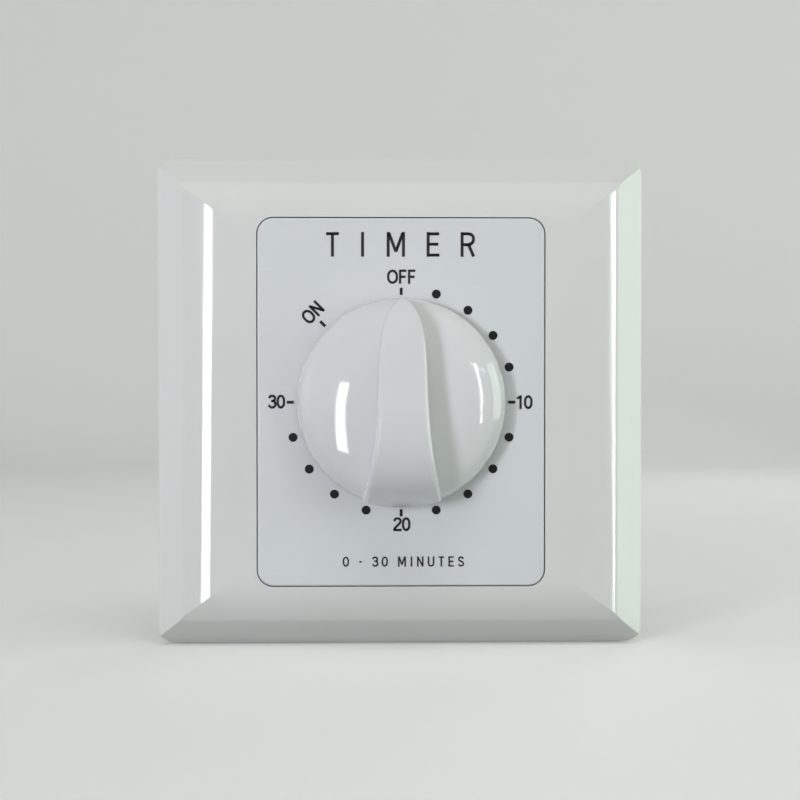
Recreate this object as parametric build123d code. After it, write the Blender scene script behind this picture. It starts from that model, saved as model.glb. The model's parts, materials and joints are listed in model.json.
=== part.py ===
from build123d import *
import math
import os

# Timer light switch for a wall box. In front of the wall: a snap-on cover frame, a printed dial panel and a
# winding knob. Behind it: a spring-driven clockwork with a cam that opens a pair of contacts at OFF.
# Lengths are in mm and angles in degrees. Every piece is drawn lying flat: x runs to the right, y up the
# wall and z out of the wall, with z = 0 on the wall's surface. save() stands it up, so that the wall is the
# plane Y = 0 and the room is at -Y. The origin is on the knob's axis, midway between the two wall screws.

# Cover frame
frame_size = 86.0
frame_front = 9.0
frame_corner = 2.8
frame_wall = 1.8
side_lip = 3.4
side_bevel = 4.7
side_crown = 13.1
side_crown_radius = 23.0
end_lip = 2.2
end_bevel = 4.4
end_crown = 11.5
end_crown_radius = 12.6
crease_rounding = 3.0
window_skirt_wall = 1.2
window_skirt_depth = 4.0

# Dial panel and its print
panel_margin = 3.5
panel_end_margin = 10.85
panel_height = frame_size - 2 * panel_end_margin
panel_corner = 2.8
panel_thick = 1.5
panel_rounding = 0.35
panel_groove = 0.15
panel_hole_gap = 0.35
peg_radius = 1.0
peg_length = 1.9
peg_inset = 4.2
ink_thick = 0.05
dot_radius = 0.78
dot_ring_radius = 19.85
tick_width = 0.5
tick_length = 1.25
tick_ring_radius = 19.35

# Dial scale: a dot every two minutes, a bar every ten, and one more bar for the place where it stays on
minutes_full = 30
minutes_per_dot = 2
minutes_per_tick = 10
degrees_per_minute = 9.0
always_on_angle = -45.0

# Mounting frame
yoke_gap = 0.4
yoke_size = frame_size - 2 * (frame_wall + yoke_gap)
yoke_thick = 2.2
yoke_corner = 2.0
block_wall = 1.6
block_inset = 0.05
deck_thick = 1.2
slot_spacing = 60.3
slot_width = 4.2
slot_length = 7.6

# Snap hooks between cover frame and mounting frame
hook_spacing = 44.0
hook_width = 8.0
hook_reach = 3.7
hook_thick = 0.8
hook_gap = 0.2
hook_overlap = 0.5
tab_thick = 1.3
tab_barb_thick = 0.8

# Knob
knob_radius = 18.1
knob_lift = 0.6
knob_top = 18.0
knob_plateau_radius = 4.2
knob_dome_radius = 26.0
knob_shoulder_radius = 5.0
knob_wall = 1.8
knob_boss_radius = 5.4
knob_rib_thick = 1.2
knob_rib_count = 6
grip_crest = 24.8
grip_tip = 17.8
grip_foot_half = 6.9
grip_half_widths = [(2.1, 15.9), (3.45, 12.3), (3.95, 7.5), (4.45, -3.5), (5.3, -10.0)]
grip_heights = [(-18.6, 10.6), (-16.4, 17.4), (-12.6, 22.6), (-6.0, grip_crest)]
grip_heights += [(6.0, 23.6), (13.6, 21.4), (18.2, 17.8)]
grip_rounding = 0.9
clip_thick = 0.4
clip_width = 2.8
clip_length = 4.4

# Shaft
shaft_radius = 3.0
shaft_front = 15.4
flat_depth = 0.8
flat_length = 5.0
running_gap = 0.03
seat_gap = 0.02

# Movement plates and their pillars
plate_width = 43.2
panel_width = plate_width + 2 * panel_margin
plate_top = 22.8
plate_foot = -23.0
rear_plate_foot = -14.0
plate_corner = 2.0
plate_thick = 1.2
front_plate_rear = 3.0
plate_gap = 19.2
pillar_inset = 2.4
pillar_x = plate_width / 2 - pillar_inset
pillar_low = -11.0
pillar_high = 20.0
pillar_radius = 2.1
stud_radius = 1.25
nut_across = 5.0
nut_thick = 1.8
bush_radius = 4.0
bush_flange_radius = 5.2
bush_flange_thick = 1.0
bush_length = 3.8
pivot_radius = 0.5
staff_radius = 0.75
end_shake = 0.1
main_pivot_radius = 1.2

# Gears
pressure_angle = 25.0
tooth_addendum = 0.9
tooth_dedendum = 1.15
tooth_thinning = 0.05
pinion_teeth = 12
main_teeth = 60
main_module = 0.4
second_teeth = 48
second_module = 0.35
third_teeth = 42
third_module = 0.35
wheel_thick = 1.0
main_wheel_thick = 1.2
second_direction = 150.0
third_direction = 40.0
escape_direction = 10.0
anchor_direction = -20.0
main_pinion_top = -1.6
main_pinion_length = 1.7
second_wheel_rear = -6.2
third_wheel_rear = -9.2
pinion_overhang = 0.6
hub_radius = 1.7
hub_length = 0.8

# Mainspring
spring_hub_radius = 4.0
spring_rear = -1.5
spring_height = 3.9
spring_thick = 0.35
spring_turns = 5
spring_outer = 11.8
post_radius = 0.8
post_direction = -60.0

# Slipping clutch under the main wheel
washer_radius = 4.8
washer_thick = 0.3
washer_dish = 0.5
ring_thick = 0.6
ring_radius = 4.2
groove_depth = 0.5

# Escapement
escape_teeth = 15
escape_radius = 6.0
escape_root = 4.5
escape_rear = -12.2
escape_tooth_tip = 0.25
anchor_distance = 8.5
anchor_thick = 0.8
anchor_rise = 0.6
anchor_arm_width = 1.8
pallet_spread = 40.0
pallet_ring_radius = 7.2
pallet_radius = 0.4
balance_radius = 5.4
balance_rim = 1.3
balance_thick = 1.5
balance_rear = -8.4

# Cam and end stop
cam_radius = 6.5
cam_lobe_reach = 8.5
cam_nose_radius = 1.5
cam_rear = -13.0
cam_thick = 1.8
stop_disc_thick = 2.0
stop_reach = 11.5
stop_pin_radius = 1.4
stop_ring_radius = 10.2
stop_gap = 0.1
knob_first_angle = always_on_angle
knob_last_angle = minutes_full * degrees_per_minute

# Contacts
blade_thick = 0.35
blade_width = 3.0
blade_rear = -13.0
blade_gap = 0.3
blade_tip = 11.4
contact_x = 9.8
contact_radius = 1.2
contact_thick = 0.7
contact_opening = 1.2
rivet_radius = 0.7

# Terminals
terminal_x = 10.4
terminal_width = 6.4
terminal_foot = -22.5
terminal_length = 8.4
terminal_rear = -15.0
terminal_depth = 8.0
wire_radius = 1.8
wire_depth = 7.0
wire_height = 5.4
clamp_radius = 1.45
clamp_head_radius = 2.5
clamp_head_thick = 1.7
clamp_tip_gap = 0.6
carrier_top = -13.4
carrier_foot = -23.2
carrier_thick = 1.9
carrier_wall = 2.0
carrier_barrier = 2.4
carrier_boss_inset = 3.3
carrier_boss_x = plate_width / 2 - carrier_boss_inset
carrier_boss_y = -20.6
carrier_boss_radius = 2.2

# Rear housing
housing_wall = 1.4
housing_gap = 0.6
housing_rear = -20.6
housing_front = 2.0
housing_corner = 2.4
opening_gap = 0.3
entry_radius = 2.2
access_radius = 3.1
housing_boss_radius = 3.0
housing_counterbore = 1.6

# Small screws: shank, head and cross recess
screw_radius = 1.2
screw_head_radius = 2.2
screw_head_thick = 1.4
recess_width = 0.6
recess_depth = 0.7
yoke_screw_low = (pillar_x - 4.7, -16.5)
yoke_screw_high = (pillar_x - 7.2, 20.2)
yoke_screw_spots = [(side * x, y) for x, y in (yoke_screw_low, yoke_screw_high) for side in (-1, 1)]
yoke_screw_length = 4.0
yoke_boss_radius = 2.6
carrier_screw_length = 5.0
housing_screw_length = 7.0

# Heights that follow from the sizes above
panel_back = frame_front - panel_thick
deck_back = panel_back - deck_thick
front_plate_front = front_plate_rear + plate_thick
rear_plate_front = front_plate_rear - plate_gap
rear_plate_rear = rear_plate_front - plate_thick
knob_base = frame_front + knob_lift
escape_front = escape_rear + wheel_thick
anchor_rear = escape_front + anchor_rise
terminal_front = terminal_rear + terminal_depth
carrier_rear = terminal_front
carrier_front = carrier_rear + carrier_thick
stop_disc_rear = cam_rear - stop_disc_thick
housing_floor = housing_rear + housing_wall
housing_width = plate_width + 2 * (housing_gap + housing_wall)
housing_top = plate_top + housing_gap + housing_wall
housing_foot = carrier_foot - housing_gap - housing_wall
housing_height = housing_top - housing_foot
housing_middle = (housing_top + housing_foot) / 2
pillar_spots = [(x, y) for x in (-pillar_x, pillar_x) for y in (pillar_low, pillar_high)]
carrier_screw_spots = [(-carrier_boss_x, carrier_boss_y), (carrier_boss_x, carrier_boss_y)]


def polar(radius, angle):
    return (radius * math.cos(math.radians(angle)), radius * math.sin(math.radians(angle)))


def from_spot(spot, radius, angle):
    reach = polar(radius, angle)
    return (spot[0] + reach[0], spot[1] + reach[1])


def disc(radius, low, high, spot=(0, 0)):
    return Pos(spot[0], spot[1], (low + high) / 2) * Cylinder(radius, high - low)


def slab(width, height, corner, low, high, spot=(0, 0)):
    return Pos(spot[0], spot[1], low) * extrude(RectangleRounded(width, height, corner), amount=high - low)


def bar(left, right, foot, top, low, high):
    spot = Pos((left + right) / 2, (foot + top) / 2, (low + high) / 2)
    return spot * Box(right - left, top - foot, high - low)


def turned(*steps):
    return Part() + [disc(radius, low, high) for radius, low, high in steps]


# A section drawn on a middle plane, extruded as far on both sides of it
def through(plane, section, half):
    return extrude(plane.offset(-half) * section, amount=2 * half)


def at(spot, shape):
    return Pos(spot[0], spot[1], 0) * shape


def both_sides(shape):
    return [shape, mirror(shape, Plane.YZ)]


def save(name, *solids):
    pieces = [Rot(90, 0, 0) * solid for shape in solids for solid in shape.solids()]
    export_step(pieces[0] if len(pieces) == 1 else Compound(children=pieces), f"parts/{name}.step")


# A cross-recessed screw, its head's seat at z = 0 and its shank pointing down
def screw(length, head_radius=screw_head_radius, head_thick=screw_head_thick, radius=screw_radius):
    head = disc(head_radius, 0, head_thick)
    head = chamfer(head.edges().group_by(Axis.Z)[-1], head_thick / 4)
    across, depth = 2.4 * radius, 2 * recess_depth
    recess = [Box(across, recess_width, depth), Box(recess_width, across, depth)]
    return head + disc(radius, -length, 0) - Pos(0, 0, head_thick) * (Part() + recess)


# The cover frame's outer form: a convex crown that falls to a bevelled edge, one section across the sides
# and another across the ends, so that the bevels meet in a mitre at each corner
def crown_drop(run, radius):
    return radius - math.sqrt(radius**2 - run**2)


def edge_section(half, front, lip, bevel, crown, radius):
    run = crown - bevel
    bevel_end = (bevel - half, front - crown_drop(run, radius))
    crown_end = (crown - half, front)
    crown_middle = (bevel - half + run / 2, front - crown_drop(run / 2, radius))
    left = [
        Line((-half, 0), (-half, lip)),
        Line((-half, lip), bevel_end),
        ThreePointArc(bevel_end, crown_middle, crown_end),
    ]
    right = [mirror(edge, Plane.YZ) for edge in left]
    middle = [Line((-half, 0), (half, 0)), Line(crown_end, (half - crown, front))]
    section = make_face(left + right + middle)
    creases = [corner for corner in section.vertices() if abs(corner.Y - bevel_end[1]) < 0.01]
    return fillet(creases, crease_rounding)


def crowned_block(inset):
    half = frame_size / 2 - inset
    front = frame_front - inset
    side = edge_section(half, front, side_lip, side_bevel, side_crown, side_crown_radius)
    end = edge_section(half, front, end_lip, end_bevel, end_crown, end_crown_radius)
    block = slab(2 * half, 2 * half, frame_corner - inset, 0, frame_front)
    return block & through(Plane.XZ, side, half) & through(Plane.YZ, end, half)


window_width = panel_width + 2 * panel_groove
window_height = panel_height + 2 * panel_groove
window_corner = panel_corner + panel_groove
frame_inside = frame_size / 2 - frame_wall
barb_tip = frame_inside - hook_reach
barb_low = yoke_thick + hook_gap
tab_barb_low = barb_low + hook_thick + hook_gap
tab_outside = barb_tip - hook_gap
tab_barb_tip = barb_tip + hook_overlap


def cover_frame():
    outer = crowned_block(0)
    skirt = slab(
        window_width + 2 * window_skirt_wall,
        window_height + 2 * window_skirt_wall,
        window_corner + window_skirt_wall,
        frame_front - window_skirt_depth,
        frame_front,
    )
    shell = outer - crowned_block(frame_wall) + (outer & skirt)
    shell -= slab(window_width, window_height, window_corner, 0, frame_front)
    for side in (-1, 1):
        for end in (-1, 1):
            left = side * hook_spacing / 2 - hook_width / 2
            near, far = sorted([end * barb_tip, end * (frame_inside + frame_wall / 4)])
            shell += bar(left, left + hook_width, near, far, barb_low, barb_low + hook_thick)
    return shell


def mounting_frame():
    block_width = panel_width - 2 * block_inset
    block_height = panel_height - 2 * block_inset
    frame = slab(yoke_size, yoke_size, yoke_corner, 0, yoke_thick)
    frame += slab(block_width, block_height, panel_corner, 0, panel_back)
    frame -= slab(block_width - 2 * block_wall, block_height - 2 * block_wall, panel_corner - block_wall / 2,
                  yoke_thick, deck_back)
    opening = (housing_width + 2 * opening_gap, housing_height + 2 * opening_gap)
    frame -= slab(*opening, housing_corner, 0, yoke_thick, (0, housing_middle))
    for spot in yoke_screw_spots:
        frame += disc(yoke_boss_radius, front_plate_front, deck_back, spot)
        frame -= disc(screw_radius, 0, front_plate_rear + yoke_screw_length, spot)
    for spot in peg_spots:
        frame -= disc(peg_radius + running_gap, deck_back, panel_back, spot)
    frame -= disc(bush_radius + opening_gap, deck_back, panel_back)
    for side in (-1, 1):
        slot = SlotOverall(slot_length, slot_width)
        frame -= Pos(side * slot_spacing / 2, 0, 0) * extrude(slot, amount=yoke_thick)
        for end in (-1, 1):
            left = side * hook_spacing / 2 - hook_width / 2
            foot, top = sorted([end * tab_outside, end * (tab_outside - tab_thick)])
            frame += bar(left, left + hook_width, foot, top, yoke_thick, tab_barb_low + tab_barb_thick)
            foot, top = sorted([end * tab_outside, end * tab_barb_tip])
            frame += bar(left, left + hook_width, foot, top, tab_barb_low, tab_barb_low + tab_barb_thick)
    return frame


peg_x = panel_width / 2 - peg_inset
peg_y = panel_height / 2 - peg_inset
peg_spots = [(x, y) for x in (-peg_x, peg_x) for y in (-peg_y, peg_y)]


def dial_panel():
    panel = slab(panel_width, panel_height, panel_corner, panel_back, frame_front)
    panel = fillet(panel.faces().sort_by(Axis.Z)[-1].edges(), panel_rounding)
    panel -= disc(shaft_radius + panel_hole_gap, panel_back, frame_front)
    return panel + [disc(peg_radius, panel_back - peg_length, panel_back, spot) for spot in peg_spots]


# Dial angles run clockwise from the top, as the knob turns
def on_dial(radius, angle, shape):
    return Rot(0, 0, -angle) * Pos(0, radius, frame_front) * extrude(shape, amount=ink_thick)


def dial_marks():
    tick = Rectangle(tick_width, tick_length)
    marks = [on_dial(tick_ring_radius, always_on_angle, tick)]
    for minute in range(0, minutes_full + 1, minutes_per_dot):
        angle = minute * degrees_per_minute
        if minute % minutes_per_tick == 0:
            marks.append(on_dial(tick_ring_radius, angle, tick))
        else:
            marks.append(on_dial(dot_ring_radius, angle, Circle(dot_radius)))
    return marks


# The knob's dome in half section: a flat top, a long convex slope and a round shoulder down to the rim.
# An inset gives the same section one wall thinner.
def knob_dome(inset):
    dome_radius = knob_dome_radius - inset
    shoulder_radius = knob_shoulder_radius - inset
    dome_middle = (knob_plateau_radius, knob_top - knob_dome_radius)
    shoulder_run = knob_radius - knob_shoulder_radius - knob_plateau_radius
    reach = knob_dome_radius - knob_shoulder_radius
    shoulder_rise = math.sqrt(reach**2 - shoulder_run**2)
    shoulder_middle = (knob_radius - knob_shoulder_radius, dome_middle[1] + shoulder_rise)
    slope = math.degrees(math.asin(shoulder_run / reach))
    dome_top = from_spot(dome_middle, dome_radius, 90)
    dome_halfway = from_spot(dome_middle, dome_radius, 90 - slope / 2)
    meeting = from_spot(shoulder_middle, shoulder_radius, 90 - slope)
    shoulder_halfway = from_spot(shoulder_middle, shoulder_radius, 45 - slope / 2)
    rim_top = from_spot(shoulder_middle, shoulder_radius, 0)
    section = make_face([
        Polyline(rim_top, (rim_top[0], knob_base), (0, knob_base), (0, dome_top[1]), dome_top),
        ThreePointArc(dome_top, dome_halfway, meeting),
        ThreePointArc(meeting, shoulder_halfway, rim_top),
    ])
    return revolve(Plane.XZ * section, Axis.Z)


# The grip's outline seen from the room: a blunt ogive at the top, and sides that spread down to the rim
def grip_outline():
    foot_radius = knob_radius - running_gap
    foot = (grip_foot_half, -math.sqrt(foot_radius**2 - grip_foot_half**2))
    right = grip_half_widths + [foot]
    left = [(-x, y) for x, y in reversed(right)]
    return make_face([Spline(*left, (0, grip_tip), *right), ThreePointArc(foot, (0, -foot_radius), left[0])])


# The grip seen from its side: steep at the foot, highest just above it, falling gently to the tip
def grip_side():
    crown = Spline(*grip_heights)
    tip, foot = grip_heights[-1], grip_heights[0]
    floor = Polyline(tip, (tip[0], knob_base), (foot[0], knob_base), foot)
    return through(Plane.YZ, make_face([crown, floor]), knob_radius)


def grip():
    bar_form = Pos(0, 0, knob_base) * extrude(grip_outline(), amount=2 * grip_crest) & grip_side()
    crown = bar_form.faces().sort_by(Axis.Z)[-1]
    return fillet(crown.edges(), grip_rounding)


# The hollow inside the grip, a tapered slot one wall in from its sides and its crown
def grip_hollow():
    neck = (grip_half_widths[2][0] - knob_wall, grip_half_widths[2][1])
    foot = (grip_foot_half - 2 * knob_wall, knob_wall - knob_radius + grip_half_widths[0][0])
    plan = make_face(Polyline(neck, foot, (-foot[0], foot[1]), (-neck[0], neck[1]), close=True))
    side = Pos(0, knob_wall, -knob_wall) * grip_side()
    return Pos(0, 0, knob_base) * extrude(plan, amount=2 * grip_crest) & side


flat_height = shaft_radius - flat_depth


# The knob is a thin shell: its hollow follows the dome and the grip one wall further in, with a boss for
# the shaft and ribs from the boss to the rim
def knob():
    outer = knob_dome(0) + grip()
    shell = outer - knob_dome(knob_wall) - grip_hollow()
    inside = outer & disc(knob_radius - knob_wall / 2, 0, 2 * grip_crest)
    rib = bar(0, knob_radius, -knob_rib_thick / 2, knob_rib_thick / 2, knob_base + knob_lift, 2 * grip_crest)
    ribs = [Rot(0, 0, (index + 0.5) * 360 / knob_rib_count) * rib for index in range(knob_rib_count)]
    shell += (disc(knob_boss_radius, knob_base, 2 * grip_crest) + ribs) & inside
    socket = disc(shaft_radius + seat_gap, knob_base, shaft_front + end_shake)
    key = flat_height + clip_thick + seat_gap
    key_low = shaft_front - flat_length + end_shake
    return shell - (socket - bar(-shaft_radius, shaft_radius, key, 2 * shaft_radius, key_low, 2 * shaft_front))


def knob_clip():
    low = shaft_front - (flat_length + clip_length) / 2
    return bar(-clip_width / 2, clip_width / 2, flat_height, flat_height + clip_thick, low, low + clip_length)


main_wheel_front = spring_rear
main_wheel_rear = main_wheel_front - main_wheel_thick
ring_front = main_wheel_rear - washer_dish
ring_rear = ring_front - ring_thick


def main_arbor():
    arbor = turned(
        (main_pivot_radius, rear_plate_rear, shaft_front / 2),
        (shaft_radius, rear_plate_front + end_shake, ring_rear),
        (shaft_radius - groove_depth, ring_rear, ring_front),
        (shaft_radius, ring_front, shaft_front),
        (spring_hub_radius, spring_rear, spring_rear + spring_height),
    )
    flat_rear = shaft_front - flat_length
    flat = bar(-shaft_radius, shaft_radius, flat_height, 2 * shaft_radius, flat_rear, shaft_front)
    return arbor - flat


def shaft_bush():
    bush = turned(
        (bush_radius, front_plate_rear, front_plate_rear + bush_length),
        (bush_flange_radius, front_plate_front, front_plate_front + bush_flange_thick),
    )
    return bush - disc(shaft_radius + running_gap, front_plate_rear, front_plate_rear + bush_length)


# Involute teeth, each flank drawn as one arc through three points of the involute
def tooth_half_angle(teeth, module, radius):
    pitch_radius = teeth * module / 2
    pressure = math.radians(pressure_angle)
    roll = math.acos(min(1, pitch_radius * math.cos(pressure) / radius))
    at_pitch = math.pi / (2 * teeth) - tooth_thinning / (2 * pitch_radius)
    return math.degrees(at_pitch + math.tan(pressure) - pressure - math.tan(roll) + roll)


def toothed(teeth, module, tooth_angle, low, high, spot=(0, 0)):
    pitch_radius = teeth * module / 2
    tip = pitch_radius + tooth_addendum * module
    root = pitch_radius - tooth_dedendum * module
    start = max(root, pitch_radius * math.cos(math.radians(pressure_angle)))
    heights = (start, (start + tip) / 2, tip)
    edges = []
    for index in range(teeth):
        middle = tooth_angle + index * 360 / teeth
        foot_half = tooth_half_angle(teeth, module, start)
        rise = [polar(radius, middle - tooth_half_angle(teeth, module, radius)) for radius in heights]
        fall = [polar(radius, middle + tooth_half_angle(teeth, module, radius)) for radius in heights]
        edges += [ThreePointArc(*rise), Line(rise[2], fall[2]), ThreePointArc(*fall)]
        if root < start:
            edges.append(Line(polar(root, middle - foot_half), rise[0]))
            edges.append(Line(fall[0], polar(root, middle + foot_half)))
        next_middle = middle + 360 / teeth
        edges.append(Line(polar(root, middle + foot_half), polar(root, next_middle - foot_half)))
    return Pos(spot[0], spot[1], low) * extrude(make_face(edges), amount=high - low)


def wheel(teeth, module, tooth_angle, low, thick, bore, spot=(0, 0), holes=6):
    root = teeth * module / 2 - tooth_dedendum * module
    hub = max(hub_radius, bore + hub_length)
    hole_ring = (hub + root) / 2
    hole_radius = (root - hub) / 2 - 0.9
    solid = toothed(teeth, module, tooth_angle, low, low + thick, spot)
    for index in range(holes):
        solid -= disc(hole_radius, low, low + thick, from_spot(spot, hole_ring, index * 360 / holes))
    return solid


# A wheel on a thin staff, with a hub in front of it
def staff_wheel(teeth, module, tooth_angle, low, spot, holes):
    solid = wheel(teeth, module, tooth_angle, low, wheel_thick, staff_radius, spot, holes)
    solid += disc(hub_radius, low, low + wheel_thick + hub_length, spot)
    return solid - disc(staff_radius + seat_gap, low, low + wheel_thick + hub_length, spot)


def staff(spot, *steps):
    rods = turned(
        (pivot_radius, rear_plate_rear, front_plate_front),
        (staff_radius, rear_plate_front + end_shake, front_plate_rear - end_shake),
    )
    return at(spot, rods)


def centre_distance(teeth, module):
    return (teeth + pinion_teeth) * module / 2


# Each wheel has a tooth pointing at the pinion that it drives, and that pinion has a gap pointing back
pinion_gap_turn = 180 + 180 / pinion_teeth
second_spot = from_spot((0, 0), centre_distance(main_teeth, main_module), second_direction)
third_spot = from_spot(second_spot, centre_distance(second_teeth, second_module), third_direction)
escape_spot = from_spot(third_spot, centre_distance(third_teeth, third_module), escape_direction)
anchor_spot = from_spot(escape_spot, anchor_distance, anchor_direction)
train_spots = [second_spot, third_spot, escape_spot, anchor_spot]


def main_wheel():
    bore = shaft_radius + seat_gap
    blank = wheel(main_teeth, main_module, second_direction, main_wheel_rear, main_wheel_thick, bore)
    return blank - disc(bore, main_wheel_rear, main_wheel_front)


def clutch_washer():
    inner = shaft_radius + running_gap
    section = make_face(Polyline(
        (inner, ring_front),
        (washer_radius, main_wheel_rear - washer_thick),
        (washer_radius, main_wheel_rear),
        (inner, ring_front + washer_thick),
        close=True,
    ))
    return revolve(Plane.XZ * section, Axis.Z)


def retaining_ring():
    groove_floor = shaft_radius - groove_depth + seat_gap
    ring = disc(ring_radius, ring_rear, ring_front) - disc(groove_floor, ring_rear, ring_front)
    mouth = shaft_radius - groove_depth
    return ring - bar(-mouth, mouth, 0, 2 * ring_radius, ring_rear, ring_front)


def pinion_staff(spot, module, driver_direction, low, high):
    pinion = toothed(pinion_teeth, module, driver_direction + pinion_gap_turn, low, high, spot)
    return pinion + staff(spot)


def second_pinion():
    low = main_pinion_top - main_pinion_length
    return pinion_staff(second_spot, main_module, second_direction, low, main_pinion_top)


def second_wheel():
    return staff_wheel(second_teeth, second_module, third_direction, second_wheel_rear, second_spot, 5)


def third_pinion():
    low = second_wheel_rear - pinion_overhang
    high = second_wheel_rear + wheel_thick + pinion_overhang
    return pinion_staff(third_spot, second_module, third_direction, low, high)


def third_wheel():
    return staff_wheel(third_teeth, third_module, escape_direction, third_wheel_rear, third_spot, 5)


def escape_pinion():
    low = third_wheel_rear - pinion_overhang
    high = third_wheel_rear + wheel_thick + pinion_overhang
    return pinion_staff(escape_spot, third_module, escape_direction, low, high)


# Pointed teeth that lean into the turn
def escape_wheel():
    pitch = 360 / escape_teeth
    points = []
    for index in range(escape_teeth):
        start = index * pitch
        points += [polar(escape_root, start), polar(escape_radius, start + 0.55 * pitch)]
        tip_turn = math.degrees(escape_tooth_tip / escape_radius)
        points.append(polar(escape_radius, start + 0.55 * pitch + tip_turn))
        points.append(polar(escape_root, start + 0.85 * pitch))
    blank = extrude(make_face(Polyline(*points, close=True)), amount=wheel_thick)
    for index in range(5):
        blank -= disc(0.9, 0, wheel_thick, polar((escape_root + hub_radius) / 2, index * 72))
    blank += disc(hub_radius, 0, wheel_thick + hub_length)
    blank -= disc(staff_radius + seat_gap, 0, wheel_thick + hub_length)
    return Pos(escape_spot[0], escape_spot[1], escape_rear) * blank


def link(start, end, width, low, high):
    run = (end[0] - start[0], end[1] - start[1])
    slot = SlotCenterToCenter(math.hypot(*run), width)
    turn = math.degrees(math.atan2(run[1], run[0]))
    middle = Pos((start[0] + end[0]) / 2, (start[1] + end[1]) / 2, low)
    return middle * Rot(0, 0, turn) * extrude(slot, amount=high - low)


# The anchor's two pallet pins hang beside the escape wheel, just clear of its teeth over the whole swing
def pallet_anchor():
    anchor_front = anchor_rear + anchor_thick
    anchor = disc(hub_radius, anchor_rear, anchor_front + hub_length, anchor_spot)
    for side in (-1, 1):
        pallet = from_spot(escape_spot, pallet_ring_radius, anchor_direction + side * pallet_spread)
        anchor += link(anchor_spot, pallet, anchor_arm_width, anchor_rear, anchor_front)
        anchor += disc(pallet_radius, escape_rear, anchor_rear, pallet)
    return anchor - disc(staff_radius + seat_gap, anchor_rear, anchor_front + hub_length, anchor_spot)


def balance_weight():
    front = balance_rear + balance_thick
    ring = disc(balance_radius, balance_rear, front) - disc(balance_radius - balance_rim, balance_rear, front)
    spoke = balance_radius - balance_rim / 2
    ring += bar(-spoke, spoke, -balance_rim / 2, balance_rim / 2, balance_rear, front)
    ring += disc(hub_radius, balance_rear, front)
    return at(anchor_spot, ring - disc(staff_radius + seat_gap, balance_rear, front))


# A flat strip wound in even turns from the arbor's hub out to its post
def mainspring():
    inner = spring_hub_radius + spring_thick / 2 + seat_gap
    steps = 8 * spring_turns
    side_edges = []
    for side in (-1, 1):
        points = []
        for step in range(steps + 1):
            share = step / steps
            radius = inner + (spring_outer - inner) * share + side * spring_thick / 2
            points.append(polar(radius, post_direction - 360 * spring_turns * (1 - share)))
        side_edges.append(Spline(*points))
    ends = [Line(side_edges[0] @ place, side_edges[1] @ place) for place in (0, 1)]
    return Pos(0, 0, spring_rear) * extrude(make_face(side_edges + ends), amount=spring_height)


post_spot = polar(spring_outer + spring_thick / 2 + post_radius, post_direction)


def spring_post():
    return disc(post_radius, spring_rear, front_plate_front, post_spot)


# The lobe and the stop lug point down at OFF. The stop pin stands midway between the lug's two end places.
lobe_direction = -90.0
stop_half_sector = (360 - knob_last_angle + knob_first_angle) / 2
stop_pin_spot = polar(stop_ring_radius, lobe_direction + 180 - (knob_first_angle + knob_last_angle) / 2)
stop_lug_half = stop_ring_radius * math.sin(math.radians(stop_half_sector)) - stop_pin_radius - stop_gap
stop_lug_front = cam_rear - blade_gap


def cam():
    nose = Pos(0, cam_nose_radius - cam_lobe_reach, 0) * Circle(cam_nose_radius)
    outline = make_hull(Circle(cam_radius).edges() + nose.edges())
    track = Pos(0, 0, cam_rear) * extrude(outline, amount=cam_thick)
    stop = disc(cam_radius, stop_disc_rear, cam_rear)
    stop += bar(-stop_lug_half, stop_lug_half, -stop_reach, 0, stop_disc_rear, stop_lug_front)
    return track + stop - disc(shaft_radius + seat_gap, stop_disc_rear, cam_rear + cam_thick)


def stop_pin():
    return disc(stop_pin_radius, rear_plate_rear, stop_lug_front, stop_pin_spot)


def front_plate():
    middle = (plate_top + plate_foot) / 2
    height = plate_top - plate_foot
    plate = slab(plate_width, height, plate_corner, front_plate_rear, front_plate_front, (0, middle))
    holes = [((0, 0), bush_radius + seat_gap), (post_spot, post_radius + seat_gap)]
    holes += [(spot, pivot_radius + running_gap) for spot in train_spots]
    holes += [(spot, stud_radius + seat_gap) for spot in pillar_spots]
    holes += [(spot, screw_radius + running_gap) for spot in yoke_screw_spots + carrier_screw_spots]
    return plate - [disc(radius, front_plate_rear, front_plate_front, spot) for spot, radius in holes]


def rear_plate():
    middle = (plate_top + rear_plate_foot) / 2
    height = plate_top - rear_plate_foot
    plate = slab(plate_width, height, plate_corner, rear_plate_rear, rear_plate_front, (0, middle))
    holes = [((0, 0), main_pivot_radius + running_gap), (stop_pin_spot, stop_pin_radius + seat_gap)]
    holes += [(spot, pivot_radius + running_gap) for spot in train_spots]
    holes += [(spot, screw_radius + running_gap) for spot in pillar_spots]
    return plate - [disc(radius, rear_plate_rear, rear_plate_front, spot) for spot, radius in holes]


housing_screw_seat = housing_rear + housing_counterbore
housing_screw_tip = housing_screw_seat + housing_screw_length


def plate_pillars():
    pillar = disc(pillar_radius, rear_plate_front, front_plate_rear)
    pillar += disc(stud_radius, front_plate_rear, front_plate_front + nut_thick)
    pillar -= disc(screw_radius + seat_gap, rear_plate_front, housing_screw_tip + end_shake)
    return [at(spot, pillar) for spot in pillar_spots]


def pillar_nuts():
    hexagon = RegularPolygon(nut_across / 2, 6, major_radius=False)
    nut = Pos(0, 0, front_plate_front) * extrude(hexagon, amount=nut_thick)
    nut -= disc(stud_radius + seat_gap, front_plate_front, front_plate_front + nut_thick)
    return [at(spot, nut) for spot in pillar_spots]


# A rod up the wall, for the contacts and the wire holes
def upright(radius, foot, top, x, z):
    return Pos(x, (foot + top) / 2, z) * Rot(90, 0, 0) * Cylinder(radius, top - foot)


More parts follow.
